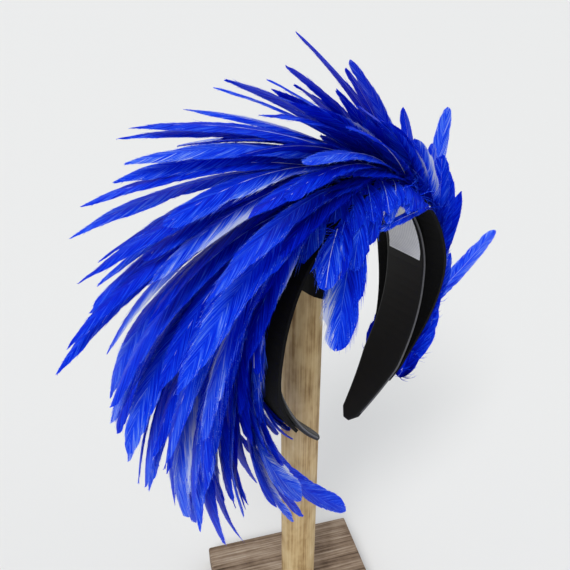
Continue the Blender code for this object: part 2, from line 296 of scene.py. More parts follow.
def addSheet(store, points, face, thickness, dye, barb):
    rows, columns = points.shape[:2]
    index = np.arange(rows * columns).reshape(rows, columns)
    under = index.copy()
    under[1:-1, 1:-1] = rows * columns + np.arange((rows - 2) * (columns - 2)).reshape(rows - 2, -1)
    lift = face * thickness
    lift[[0, -1]] = 0
    lift[:, [0, -1]] = 0
    inner = (slice(1, -1), slice(1, -1))
    verts = [(points + lift).reshape(-1, 3), (points - lift)[inner].reshape(-1, 3)]
    tris = []
    for grid, order in ((index, (0, 1, 2, 3)), (under, (3, 2, 1, 0))):
        corners = [grid[:-1, :-1], grid[:-1, 1:], grid[1:, 1:], grid[1:, :-1]]
        a, b, c, d = (corners[k].ravel() for k in order)
        tris += [np.stack([a, b, c], axis=1), np.stack([a, c, d], axis=1)]
    dye = np.concatenate([dye.ravel(), dye[inner].ravel()])
    barb = np.concatenate([barb.reshape(-1, 2), barb[inner].reshape(-1, 2)])
    addToStore(store, np.concatenate(verts), np.concatenate(tris), dye, barb)


def addTube(store, points, across, face, radius, sides, dye, barb):
    angle = np.arange(sides) * 2 * math.pi / sides
    c, s = (f(angle)[None, :, None] for f in (np.cos, np.sin))
    ring = across[:, None] * c + face[:, None] * s
    rings = points[:, None] + ring * radius[:, None, None]
    steps = len(points)
    verts = np.concatenate([rings.reshape(-1, 3), points[:1], points[-1:]])
    tris = []
    for k in range(steps - 1):
        for i in range(sides):
            a, b = k * sides + i, k * sides + (i + 1) % sides
            tris += [(a, a + sides, b + sides), (a, b + sides, b)]
    root, tip, last = steps * sides, steps * sides + 1, (steps - 1) * sides
    for i in range(sides):
        j = (i + 1) % sides
        tris += [(root, i, j), (tip, last + j, last + i)]
    count = len(verts)
    addToStore(store, verts, np.array(tris), np.full(count, dye), np.tile(barb, (count, 1)))


def storeMesh(store, name):
    verts = np.concatenate(store["verts"]).astype(np.float32)
    tris = np.concatenate(store["tris"]).astype(np.int32)
    mesh = bpy.data.meshes.new(name)
    mesh.vertices.add(len(verts))
    mesh.vertices.foreach_set("co", verts.ravel())
    mesh.loops.add(tris.size)
    mesh.loops.foreach_set("vertex_index", tris.ravel())
    mesh.polygons.add(len(tris))
    mesh.polygons.foreach_set("loop_start", np.arange(0, tris.size, 3, dtype=np.int32))
    # the colour value: each feather's own dye, with painted highlight and painted shade added into it
    dye = mesh.attributes.new("dye", "FLOAT", "POINT")
    dye.data.foreach_set("value", np.concatenate(store["dye"]))
    mesh.update(calc_edges=True)
    barbs = mesh.uv_layers.new(name="barbs")
    barbs.data.foreach_set("uv", np.concatenate(store["barb"])[tris.ravel()].astype(np.float32).ravel())
    mesh.shade_smooth()
    mesh.set_sharp_from_angle(angle=math.radians(creaseAngle))
    return mesh


# one feather
featherShape = dict(
    fullLength=0.120,
    fullWidth=0.0195,
    cup=0.16,  # how far the vane's edges lie below the shaft, as a share of the half width
    # outlines: shares along the shaft, and the half width there
    pointed=(
        (0.0, 0.10, 0.26, 0.50, 0.75, 0.90, 1.0),
        (0.20, 0.45, 0.85, 1.0, 0.86, 0.54, 0.03),
    ),
    finger=(
        (0.0, 0.10, 0.26, 0.50, 0.80, 0.93, 0.98, 1.0),
        (0.24, 0.50, 0.86, 1.0, 0.86, 0.62, 0.38, 0.03),
    ),
    rounded=(
        (0.0, 0.10, 0.26, 0.50, 0.80, 0.93, 0.98, 1.0),
        (0.20, 0.45, 0.85, 1.0, 0.98, 0.80, 0.52, 0.03),
    ),
    rowStep=0.003,
    fewestRows=8,
    tipCrowding=1.35,  # rows lie closer together towards the rounded tip
    columns=(0.0, 0.34, 0.68, 1.0),
    vaneThickness=0.00016,
    barbAngle=(34, 13),  # from the shaft, at the root and at the tip, in degrees
    barbSweep=1.5,
    liftPower=1.5,
    shortestBarb=0.006,
    firstBarb=0.05,
    lowestRoot=(0.005, 0.02),  # of the first barb, and how much higher that of the last one
    streakStart=(0, 50),  # each feather has its own streaks
    # colour value, from dark to pale, added to the feather's own dye: random tone for each clump, then
    # painted light: lighter towards the tip and darker towards the root, lighter towards the vane's
    # edge, and a pale patch of painted highlight on one side
    clumpDye=0.03,
    # painted light: lighter towards the tip, darker towards the root
    tipHighlight=0.10,
    # painted highlight: lighter towards the vane's edge
    edgeHighlight=0.04,
    patchAt=(0.45, 0.85),
    patchSize=0.17,
    # clumps: rows that cling together, with a notch between two of them
    clump=5,
    clumpReach=(0.95, 1.03),
    clumpLift=0.0006,
    notch=(0.02, 0.16),
    raggedNotch=0.5,
)

# barbs that have come loose along a vane's edge
looseShape = dict(
    spacing=0.0010,
    scatter=0.3,  # share of the spacing
    lowest=0.01,
    bend=0.75,  # share of the barb after which it runs straight
    start=(0.40, 0.75),
    reach=(0.02, 0.16),
    lift=0.00035,
    raggedness=2.0,  # how much further and higher they stand on a ragged feather
    halfWidth=(0.00016, 0.00030),
    ridge=0.6,
    tilt=8,  # degrees
    # mean and spread added to the vane's edge value: the mean is painted edge highlight, the spread
    # random tone
    dye=(0.03, 0.06),
    # painted highlight: paler at the loose barbs' tips
    tipHighlight=0.10,
    streak=1.1,
)

shaftShape = dict(
    radius=(0.00052, 0.00016),
    shortest=0.45,  # a short feather's shaft is thinner, a feather this long has a full one
    longest=0.18,
    sides=4,
    steps=10,
    end=0.96,
    # the quill is paler than its vane: partly its own colour, partly painted highlight where it catches
    # the light
    dye=(0.66, 1.02),
)

# down at the foot of the shaft
downShape = dict(
    count=10,
    reach=0.013,
    span=0.16,  # share of the shaft that it grows from
    onward=0.05,  # share of the shaft that gives the way it heads
    offVane=(0.1, 0.45),
    scatter=0.35,
    length=(0.5, 1.0),
    bend=0.25,
    # stretches of a barb: share of its length, and how far it heads outwards, onwards, into the bend
    stretches=((0.45, 1.0, 0.3, 0.0), (0.35, 1.0, 0.9, 1.0), (0.30, 0.5, 1.3, 2.0)),
    halfWidth=(0.00010, 0.00022),
    taper=(1.0, 0.9, 0.6, 0.0),
    ridge=0.8,
    dyeSpread=0.06,
    dye=(0.0, 0.03, 0.08, 0.14),
    streak=0.01,
)


def shaftLine(root, start, away, length, curl, roll, twist, sway):
    axis = unit(np.cross(start, -away))
    turn = np.cross(axis, start)
    curl = curl if abs(curl) > 1e-4 else 1e-4  # a straight shaft bends by next to nothing

    def line(share):
        angle = (curl * share)[..., None]
        heading = np.cos(angle) * start + np.sin(angle) * turn
        point = root + length / curl * (np.sin(angle) * start + (1 - np.cos(angle)) * turn)
        point = point + axis * (sway * length * share**2)[..., None]
        flat = unit(np.cross(heading, away))
        turned = (roll + twist * share)[..., None]
        across = np.cos(turned) * flat + np.sin(turned) * np.cross(heading, flat)
        return point, across, np.cross(across, heading)

    return line


def barbPaths(line, length, rootAt, tipAt, reach, side, lift, u):
    s = featherShape
    along = rootAt[:, None] + (tipAt - rootAt)[:, None] * u
    out = reach[:, None] * (1 - (1 - u) ** s["barbSweep"])
    point, across, face = line(along)
    raised = lift[:, None] * u ** s["liftPower"] - s["cup"] * out
    path = point + across * (side * out)[..., None] + face * raised[..., None]
    span = np.hypot(reach[:, None], (tipAt - rootAt)[:, None] * length) * u
    barb = np.stack([np.broadcast_to(rootAt[:, None] * length, span.shape), side * span], axis=-1)
    return path, face, barb


def growLoose(store, rng, line, length, rows, side, ragged, start):
    s = looseShape
    first = featherShape["firstBarb"]
    count = int(length * (1 - first) / s["spacing"] * (1 + ragged))
    scatter = rng.normal(0, s["scatter"], count) * s["spacing"] / length
    at = np.clip(np.linspace(first, 1.0, count) + scatter, s["lowest"], 1.0)
    rootAt, reach, lift, dye = (np.interp(at, rows[0], values) for values in rows[1:])
    bend, wild = s["bend"], 1 + s["raggedness"] * ragged
    u = np.array((0.0, bend, 1.0))
    edge, face, barb = barbPaths(line, length, rootAt, at, reach, side, lift, u)
    root, middle, tip = (edge[:, k] for k in range(3))
    leaves = rng.uniform(*s["start"], count)[:, None]
    bow = middle - (root * (1 - bend) + tip * bend)
    begin = root * (1 - leaves) + tip * leaves
    begin = begin + bow * leaves * (1 - leaves) / (bend * (1 - bend))
    beyond = (tip - middle) / (1 - bend) * rng.uniform(*s["reach"], count)[:, None] * wild
    drift = face[:, 2] * rng.normal(0, s["lift"] * wild, count)[:, None]
    paths = np.stack([begin, tip + beyond + drift], axis=1)
    # painted highlight on loose barbs: lighter than the vane's edge and paler at the tips, with random
    # tone
    shade = dye[:, None] + rng.normal(*s["dye"], count)[:, None] + np.array((0.0, s["tipHighlight"]))
    halfWidth = rng.uniform(*s["halfWidth"], count)
    tilt = np.radians(rng.normal(0, s["tilt"], count))
    streak = np.stack([barb[:, 2] * leaves, barb[:, 2] * s["streak"]], axis=1) + (start, 0)
    taper = np.array((1.0, 0.0))
    addStrands(store, paths, face[:, [0, 2]], halfWidth, taper, s["ridge"], tilt, shade, streak)


def growVane(store, rng, line, length, half, outline, dye, ragged, patch):
    s = featherShape
    count = max(s["fewestRows"], round(length / s["rowStep"]))
    tipAt = 1 - (1 - s["firstBarb"]) * np.linspace(1, 0, count) ** s["tipCrowding"]
    reach = np.interp(tipAt, *outline) * half
    angle = np.radians(np.interp(tipAt, (0, 1), s["barbAngle"]))
    run = np.maximum(reach / np.tan(angle), s["shortestBarb"] * (1 - tipAt**8)) / length
    lowest = s["lowestRoot"][0] + s["lowestRoot"][1] * tipAt
    rootAt = np.maximum.accumulate(np.maximum(tipAt - run, lowest))
    u = np.array(s["columns"])
    halves, start = {}, rng.uniform(*s["streakStart"])
    patchSide, patchAt = (1 if rng.random() < 0.5 else -1), rng.uniform(*s["patchAt"])
    for side in (-1, 1):
        ends = np.flatnonzero(rng.random(count) < 1 / s["clump"])
        clump = np.searchsorted(ends, np.arange(count))
        clumps = clump.max() + 1
        notch = np.zeros(count)
        notch[ends] = rng.uniform(*s["notch"], len(ends))
        notch[ends] += ragged * rng.uniform(0, s["raggedNotch"], len(ends))
        sideReach = reach * (1 - notch) * rng.uniform(*s["clumpReach"], clumps)[clump]
        lift = rng.normal(0, s["clumpLift"] * (0.5 + ragged), clumps)[clump]
        lift = np.convolve(np.pad(lift, 1, "edge"), (0.25, 0.5, 0.25), "valid")
        path, face, barb = barbPaths(line, length, rootAt, tipAt, sideReach, side, lift, u)
        # painted highlight: a pale patch on one side of some feathers, where barbs catch the light
        glowing = patch * np.exp(-(((tipAt - patchAt) / s["patchSize"]) ** 2)) * (side == patchSide)
        # painted light: lighter towards the feather's tip and darker towards its root; the clump values
        # are random tone
        shade = dye + rng.normal(0, s["clumpDye"], clumps)[clump] + s["tipHighlight"] * (tipAt - 0.5)
        # painted highlight: lighter towards the vane's edge, and paler still in the patch
        shade = shade[:, None] + (s["edgeHighlight"] + glowing[:, None]) * u
        halves[side] = (path, face, barb, shade)
        rows = (tipAt, rootAt, sideReach, lift, shade[:, -1])
        growLoose(store, rng, line, length, rows, side, ragged, start)
    path, face, barb, shade = (
        np.concatenate([halves[-1][k][:, :0:-1], halves[1][k]], axis=1) for k in range(4)
    )
    addSheet(store, path, face, s["vaneThickness"], shade, barb + (start, 0))


def growDown(store, rng, line, away, count, dye):
    s = downShape
    rootAt = rng.uniform(0.0, s["span"], count)
    point, across, face = line(rootAt)
    side = np.where(rng.random(count) < 0.5, -1.0, 1.0)[:, None]
    offVane = face * rng.normal(*s["offVane"], (count, 1))
    aim = unit(across * side + offVane + rng.normal(0, s["scatter"], (count, 3)))
    flow = unit(line(rootAt + s["onward"])[0] - point)
    reach = s["reach"] * rng.uniform(*s["length"], (count, 1))
    bend = rng.normal(0, s["bend"], (count, 3))
    for heading in (aim, bend):  # none goes back through the felt
        heading -= 2 * np.minimum(heading @ away, 0)[:, None] * away
    steps = [point]
    for share, outwards, onwards, bent in s["stretches"]:
        heading = unit(outwards * aim + onwards * flow + bent * bend)
        steps.append(steps[-1] + reach * share * heading)
    shade = dye + rng.normal(0, s["dyeSpread"], (count, 1)) + np.array(s["dye"])
    halfWidth = rng.uniform(*s["halfWidth"], count)
    streak = rng.random((count, len(steps), 2)) * s["streak"]
    addStrands(
        store, np.stack(steps, axis=1), face[:, None, :], halfWidth, np.array(s["taper"]), s["ridge"],
        np.zeros(count), shade, streak,
    )


def growFeather(
    store, rng, root, start, away, length, width, curl, roll,
    twist=0.0, sway=0.0, outline="pointed", dye=0.5, ragged=0.0, patch=0.0, down=downShape["count"],
):
    line = shaftLine(root, start, away, length, curl, roll, twist, sway)
    growVane(store, rng, line, length, width / 2, featherShape[outline], dye, ragged, patch)
    s = shaftShape
    share = np.linspace(0, s["end"], s["steps"])
    point, across, face = line(share)
    radius = np.interp(share, (0, 1), s["radius"]) * min(1.0, s["shortest"] + length / s["longest"])
    addTube(store, point, across, face, radius, s["sides"], rng.uniform(*s["dye"]), (0, 0))
    growDown(store, rng, line, away, down, dye)


def plantFeather(store, rng, share, out, across, length, width, rise, side, curl, roll, **more):
    flow, away = archFrame(share)
    rise, side = math.radians(rise), math.radians(side)
    along = math.cos(side) * flow + math.sin(side) * np.array((0, 1, 0))
    start = math.cos(rise) * along + math.sin(rise) * away
    growFeather(
        store, rng, archPlace(share, out, across), start, away,
        length * featherShape["fullLength"], width * featherShape["fullWidth"],
        math.radians(curl), math.radians(roll), **more,
    )


# plumage: rows along the arch, and sprays of longer feathers between them
plumage = dict(
    seed=11,
    quillOut=0.0068,  # how far outside the band's inner face the quills lie
    quillHalfWidth=0.016,
    rowFill=0.85,
    lowestRise=4,  # degrees that keep the blades clear of the felt
    glowing=0.36,  # share of the feathers with a pale patch where barbs catch the light, and how pale
    glow=(0.20, 0.70),
    # layers of rows: the long feathers, and the short broad ones that close the gaps under them
    # lower: degrees that they lie under their section's rise
    layers=(
        dict(
            pitch=0.0080, spacing=0.0080, length=(0.90, 1.10), width=(0.85, 1.08), lower=0,
            dye=(0.42, 0.62),
        ),
        dict(
            pitch=0.0110, spacing=0.0095, length=(0.50, 0.72), width=(0.95, 1.15), lower=10,
            # darker values for the short ones: painted shade where they lie under the long ones
            dye=(0.28, 0.44),
        ),
    ),
    # spread of a row's feathers: along is a share of the pitch, the angles are in degrees
    rows=dict(
        along=0.4, rise=2, side=2.5, curl=4, roll=(12, 8), twist=9, sway=0.03, ragged=0.5,
        tips=("pointed", "pointed", "pointed", "finger"),
    ),
    # where each piece ends along the arch
    pieces=(("plume_near_arm", 0.33), ("plume_crown", 0.56), ("plume_far_arm", 1.0)),
    # share, length, width, rise, curl, fan, lean, back
    sections=(
        (0.15, 0.42, 0.62, 14, 30, 6, -8, 0.55),
        (0.22, 0.78, 0.78, 24, 42, 7, -1, 0.60),
        (0.32, 1.00, 0.84, 32, 56, 9, 4, 0.45),
        (0.42, 1.00, 0.84, 34, 56, 9, 2, 0.0),
        (0.50, 0.91, 0.82, 21, 40, 14, 6, -0.35),
        (0.58, 0.78, 0.66, 10, 36, 12, 4, -0.30),
        (0.66, 0.62, 0.58, 8, 28, 9, 0, -0.05),
        (0.76, 0.46, 0.54, 8, 20, 9, -2, 0.00),
        (0.895, 0.28, 0.54, 16, 12, 9, -2, 0.00),
    ),
    # count, share, length, rise, side, width, roll, curl, tip
    # pairs are for the first and the last feather
    sprays=(
        (2, (0.76, 0.72), (0.70, 0.73), (14, 12), (3, 4), 0.55, 0, 26, "finger"),
        (2, (0.66, 0.645), (0.87, 0.80), (10, 12), (4, 0), 0.50, 0, 28, "finger"),
        (2, (0.61, 0.61), (0.93, 0.84), (15, 10), (6, 6), 0.58, 0, 29, "finger"),
        (3, (0.585, 0.555), (0.84, 0.92), (8, 5), (6, 16), 0.52, -14, 26, "pointed"),
        (4, (0.54, 0.51), (1.08, 1.03), (9, 18), (8, 0), 0.60, -14, 32, "pointed"),
        (3, (0.49, 0.478), (1.06, 1.08), (33, 30), (4, 0), 0.62, 0, 40, "pointed"),
        (2, (0.462, 0.454), (1.14, 1.18), (34, 34), (0, -2), 0.62, 0, 50, "pointed"),
        (5, (0.438, 0.37), (1.08, 1.05), (38, 40), (-4, -6), 0.80, 0, 62, "finger"),
        (4, (0.33, 0.27), (1.08, 1.18), (34, 34), (-5, -7), 1.00, 0, 60, "rounded"),
        (1, (0.225, 0.225), (1.04, 1.04), (16, 16), (-8, -8), 0.55, 40, 38, "finger"),
        (1, (0.205, 0.205), (1.12, 1.12), (14, 14), (-3, -3), 0.70, 40, 36, "finger"),
        (2, (0.20, 0.16), (0.84, 1.18), (22, 19), (-9, -8), 0.95, 36, 50, "rounded"),
    ),
    # what falls over the backing's front edge: share, across in metres, length, width, rise, side, curl
    fringe=(
        (0.435, -0.016, 0.25, 0.70, 12, -14, 60),
        (0.458, -0.017, 0.20, 0.62, 10, -34, 70),
        (0.475, -0.018, 0.20, 0.58, 8, -46, 80),
        (0.492, -0.019, 0.19, 0.54, 6, -52, 84),
        (0.509, -0.020, 0.18, 0.52, 6, -56, 84),
        (0.526, -0.020, 0.17, 0.50, 4, -58, 84),
        (0.543, -0.020, 0.17, 0.50, 4, -58, 80),
        (0.560, -0.019, 0.18, 0.48, 2, -56, 76),
        (0.578, -0.018, 0.19, 0.46, 0, -52, 70),
        (0.598, -0.017, 0.21, 0.42, 0, -46, 60),
        # loose ones along the near arm's front and up the far arm's rim
        (0.180, 0.002, 0.22, 0.64, 22, -12, 20),
        (0.205, 0.000, 0.24, 0.70, 24, -13, 20),
        (0.235, -0.003, 0.26, 0.74, 24, -14, 24),
        (0.265, -0.006, 0.26, 0.76, 24, -14, 28),
        (0.295, -0.009, 0.28, 0.80, 22, -16, 30),
        (0.905, -0.004, 0.17, 0.66, 40, -14, -10),
        (0.885, 0.004, 0.20, 0.70, 60, 10, -14),
        (0.860, -0.004, 0.19, 0.70, 66, -10, -10),
        (0.835, 0.003, 0.19, 0.70, 64, 8, -8),
        (0.810, -0.005, 0.18, 0.68, 62, -8, -8),
        (0.785, 0.002, 0.17, 0.66, 60, 6, -8),
    ),
    fringeLooks=dict(sway=0.04, dye=(0.42, 0.56), ragged=(0.5, 1.2)),
    stagger=0.25,  # a spray's quills lie to both sides of the strip's middle
    sprayLooks=dict(twist=8, dye=(0.48, 0.68)),
    # share, length, width, rise, side, curl
    strays=((0.76, 0.88, 0.70, 31, 12, 14), (0.86, 1.10, 0.74, 56, 11, 14)),
    strayLooks=dict(across=0.3, dye=0.66),
)
sectionColumns = ("share", "length", "width", "rise", "curl", "fan", "lean", "back")


def section(share, column):
    table = np.array(plumage["sections"])
    return float(np.interp(share, table[:, 0], table[:, sectionColumns.index(column)]))


def pieceFor(share):
    return next(name for name, end in plumage["pieces"] if share < end)


def growRows(stores, rng, layer):
    s, spread = plumage, plumage["rows"]
    first, last = s["sections"][0][0], s["sections"][-1][0]
    rows = int((last - first) * arch["length"] / layer["pitch"])
    for i in range(rows + 1):
        share = last - (last - first) * i / rows
        back = section(share, "back")
        half = s["quillHalfWidth"] * (1 - abs(back) / 2)
        gaps = max(1, round(2 * s["rowFill"] * half / layer["spacing"]) - 1 + i % 2)
        for j in range(gaps + 1):
            place = s["rowFill"] * (2 * j / gaps - 1)
            plantFeather(
                stores[pieceFor(share)], rng,
                share=share + rng.uniform(-1, 1) * spread["along"] * layer["pitch"] / arch["length"],
                out=s["quillOut"],
                across=s["quillHalfWidth"] * back + place * half,
                length=section(share, "length") * rng.uniform(*layer["length"]),
                width=section(share, "width") * rng.uniform(*layer["width"]),
                rise=max(section(share, "rise") - layer["lower"], s["lowestRise"])
                + rng.normal(0, spread["rise"]),
                side=place * section(share, "fan") - section(share, "lean")
                + rng.normal(0, spread["side"]),
                curl=section(share, "curl") + rng.normal(0, spread["curl"]),
                roll=rng.normal(*spread["roll"]),
                twist=math.radians(rng.normal(0, spread["twist"])),
                sway=rng.normal(0, spread["sway"]),
                dye=rng.uniform(*layer["dye"]),
                patch=glow(rng),
                ragged=rng.uniform(0, spread["ragged"]) ** 2,
                outline=spread["tips"][rng.integers(len(spread["tips"]))],
            )


def glow(rng):
    return rng.uniform(*plumage["glow"]) if rng.random() < plumage["glowing"] else 0.0


def growFringe(stores, rng):
    looks = plumage["fringeLooks"]
    for at, across, length, width, rise, side, curl in plumage["fringe"]:
        plantFeather(
            stores[pieceFor(at)], rng, at, plumage["quillOut"], across, length, width,
            rise, side, curl, 0,
            sway=rng.normal(0, looks["sway"]),
            dye=rng.uniform(*looks["dye"]),
            patch=glow(rng),
            ragged=rng.uniform(*looks["ragged"]),
        )


def growSprays(stores, rng):
    s = plumage
    for count, shares, lengths, rises, sides, width, roll, curl, tip in s["sprays"]:
        for i in range(count):
            part = i / max(count - 1, 1)
            pairs = (shares, lengths, rises, sides)
            at, length, rise, side = (a + (b - a) * part for a, b in pairs)
            stagger = s["stagger"] if i % 2 else -s["stagger"]
            plantFeather(
                stores[pieceFor(at)], rng, at, s["quillOut"],
                s["quillHalfWidth"] * (section(at, "back") + stagger),
                length, width, rise, side, curl, roll,
                twist=math.radians(rng.normal(0, s["sprayLooks"]["twist"])),
                dye=rng.uniform(*s["sprayLooks"]["dye"]),
                patch=glow(rng),
                outline=tip,
            )
    for at, length, width, rise, side, curl in s["strays"]:
        plantFeather(
            stores[pieceFor(at)], rng, at, s["quillOut"],
            s["quillHalfWidth"] * s["strayLooks"]["across"],
            length, width, rise, side, curl, 0, dye=s["strayLooks"]["dye"], outline="finger",
        )


# forelocks: what hangs in front of the opening
forelocks = dict(
    out=0.0043,
    ahead=-0.0272,
    dye=(0.42, 0.56),
    ragged=0.5,
    down=8,
    # share, length, width, rise, side, curl, roll
    locks=(
        (0.590, 0.32, 0.24, -42, -6, 10, -38),
        (0.560, 0.14, 0.30, -36, -28, 10, -38),
        (0.525, 0.16, 0.34, -50, -28, 10, -38),
        (0.492, 0.20, 0.42, -56, -24, 10, -38),
        (0.461, 0.57, 0.96, -48, -10, 6, -28),
        (0.470, 0.26, 0.50, -40, -20, 12, -38),
        (0.440, 0.24, 0.60, -2, -28, 20, -10),
        (0.427, 0.25, 0.62, 8, -30, 20, -10),
    ),
)


def growForelocks(store, rng):
    s = forelocks
    for at, length, width, rise, side, curl, roll in s["locks"]:
        plantFeather(
            store, rng, at, s["out"], s["ahead"], length, width, rise, side, curl, roll,
            dye=rng.uniform(*s["dye"]), ragged=s["ragged"], patch=glow(rng), down=s["down"],
            outline="finger",
        )


def makePlumage(material):
    rng = np.random.default_rng(plumage["seed"])
    stores = {name: newStore() for name, _ in plumage["pieces"]}
    stands = dict.fromkeys(stores, "plumage")
    for layer in plumage["layers"]:
        growRows(stores, rng, layer)
    growFringe(stores, rng)
    growSprays(stores, rng)
    stores["plume_forelock"], stands["plume_forelock"] = newStore(), "forelock"
    growForelocks(stores["plume_forelock"], rng)
    for name, store in stores.items():
        piece = newPiece(name, storeMesh(store, name), material)
        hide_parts(stands[name])
        print("made", name, len(piece.data.polygons), "triangles")


# finishes
featherFinish = dict(
    # width and length of the streaks in millimetres, detail, weight
    streaks=((1, 14, 2.0, 0.80), (5, 30, 1.0, 0.30)),
    shift=0.55,
    # the pale end, light blue to near white, is the colour of the painted highlights: patches, edges,
    # tips and quills
    ramp=(
        (0.0, "#00033C"), (0.25, "#030FA6"), (0.50, "#0A2BE6"), (0.68, "#1752FC"), (0.83, "#6090FF"),
        (1.0, "#E6ECFF"),
    ),
    roughness=(0.30, 0.50),
    specular=0.06,
    tint="#6C90FF",
    bump=(0.35, 0.0002),
    through=0.30,
)


def dyedFeather():
    # cock feathers, keratin, acid dyed and steamed: deep even colour, a soft shine along each barb
    # barbs lie about 0.4 mm apart, too fine to show, so the streaks here are about 1 mm wide
    s = featherFinish
    material, tree = newMaterial("cock feather, acid dyed royal blue")
    shade = addNode(tree, "ShaderNodeAttribute", {"attribute_name": "dye"}).outputs["Fac"]
    barbs = addNode(tree, "ShaderNodeUVMap", {"uv_map": "barbs"}).outputs["UV"]
    streaks = []
    for width, length, detail, weight in s["streaks"]:
        size = {"Scale": (1 / width, 1 / length, 1)}
        place = addNode(tree, "ShaderNodeMapping", size, {"Vector": barbs}).outputs["Vector"]
        look = {"noise_dimensions": "2D", "Scale": 1.0, "Detail": detail}
        streaks.append(addNode(tree, "ShaderNodeTexNoise", look, {"Vector": place}).outputs["Fac"])
        look = {"operation": "MULTIPLY_ADD", 1: weight}
        shade = addNode(tree, "ShaderNodeMath", look, {0: streaks[-1], 2: shade}).outputs[0]
    look = {"operation": "SUBTRACT", 1: s["shift"]}
    shade = addNode(tree, "ShaderNodeMath", look, {0: shade}).outputs[0]
    ramp = addNode(tree, "ShaderNodeValToRGB", links={"Fac": shade})
    setRamp(ramp, s["ramp"])
    low, high = s["roughness"]
    gloss = addNode(
        tree, "ShaderNodeMapRange", {"To Min": low, "To Max": high}, {"Value": streaks[0]}
    )
    strength, depth = s["bump"]
    bump = addNode(
        tree, "ShaderNodeBump", {"Strength": strength, "Distance": depth}, {"Height": streaks[0]}
    )
    shader = addNode(
        tree, "ShaderNodeBsdfPrincipled",
        {"Specular IOR Level": s["specular"], "Specular Tint": hexColour(s["tint"])},
        {
            "Base Color": ramp.outputs["Color"],
            "Roughness": gloss.outputs["Result"],
            "Normal": bump.outputs["Normal"],
        },
    )
    # thin vanes let light through to the feathers under them, which keeps their shadows blue
    through = addNode(tree, "ShaderNodeBsdfTranslucent", links={"Color": ramp.outputs["Color"]})
    both = addNode(
        tree, "ShaderNodeMixShader", {"Fac": s["through"]},
        {1: shader.outputs["BSDF"], 2: through.outputs["BSDF"]},
    )
    addNode(tree, "ShaderNodeOutputMaterial", links={"Surface": both.outputs["Shader"]})
    return material


def sizedNoise(tree, size, turn, detail):
    place = addNode(tree, "ShaderNodeTexCoord").outputs["Object"]
    sized = addNode(
        tree, "ShaderNodeMapping",
        {
            "vector_type": "TEXTURE",
            "Rotation": (0, 0, math.radians(turn)),
            "Scale": [v / 1000 for v in size],
        },
        {"Vector": place},
    ).outputs["Vector"]
    noise = {"Scale": 1.0, "Detail": detail, "Roughness": 0.6}
    return addNode(tree, "ShaderNodeTexNoise", noise, {"Vector": sized}).outputs["Fac"]


def threads(tree, direction, pitch):
    place = addNode(tree, "ShaderNodeTexCoord").outputs["Object"]
    wave = pitch / 1000 * 20 / (2 * math.pi)  # a wave texture runs through 20 radians in each unit
    size = {"vector_type": "TEXTURE", "Scale": (wave,) * 3}
    sized = addNode(tree, "ShaderNodeMapping", size, {"Vector": place}).outputs["Vector"]
    bands = {"bands_direction": direction, "Scale": 1.0, "Distortion": 0.0}
    return addNode(tree, "ShaderNodeTexWave", bands, {"Vector": sized}).outputs["Fac"]


def layeredFinish(
    name, layers, colours, roughness, specular, bump, turn=0.0, weave=(), sheen=0.0
):
    material, tree = newMaterial(name)
    parts = [(sizedNoise(tree, size, turn, detail), weight) for size, detail, weight in layers]
    parts += [(threads(tree, direction, pitch), weight) for direction, pitch, weight in weave]
    base = 0.5 - sum(weight for _, weight in parts) / 2
    total = None
    for socket, weight in parts:
        look = {"operation": "MULTIPLY_ADD", 1: weight, 2: base}
        links = {0: socket} if total is None else {0: socket, 2: total}
        total = addNode(tree, "ShaderNodeMath", look, links).outputs[0]
    ramp = addNode(tree, "ShaderNodeValToRGB", links={"Fac": total})
    setRamp(ramp, colours)
    low, high = roughness
    gloss = addNode(tree, "ShaderNodeMapRange", {"To Min": low, "To Max": high}, {"Value": total})
    strength, depth = bump
    relief = addNode(
        tree, "ShaderNodeBump", {"Strength": strength, "Distance": depth}, {"Height": total}
    )
    shader = addNode(
        tree, "ShaderNodeBsdfPrincipled", {"Specular IOR Level": specular, "Sheen Weight": sheen},
        {
            "Base Color": ramp.outputs["Color"],
            "Roughness": gloss.outputs["Result"],
            "Normal": relief.outputs["Normal"],
        },
    )
    addNode(tree, "ShaderNodeOutputMaterial", links={"Surface": shader.outputs["BSDF"]})
    return material


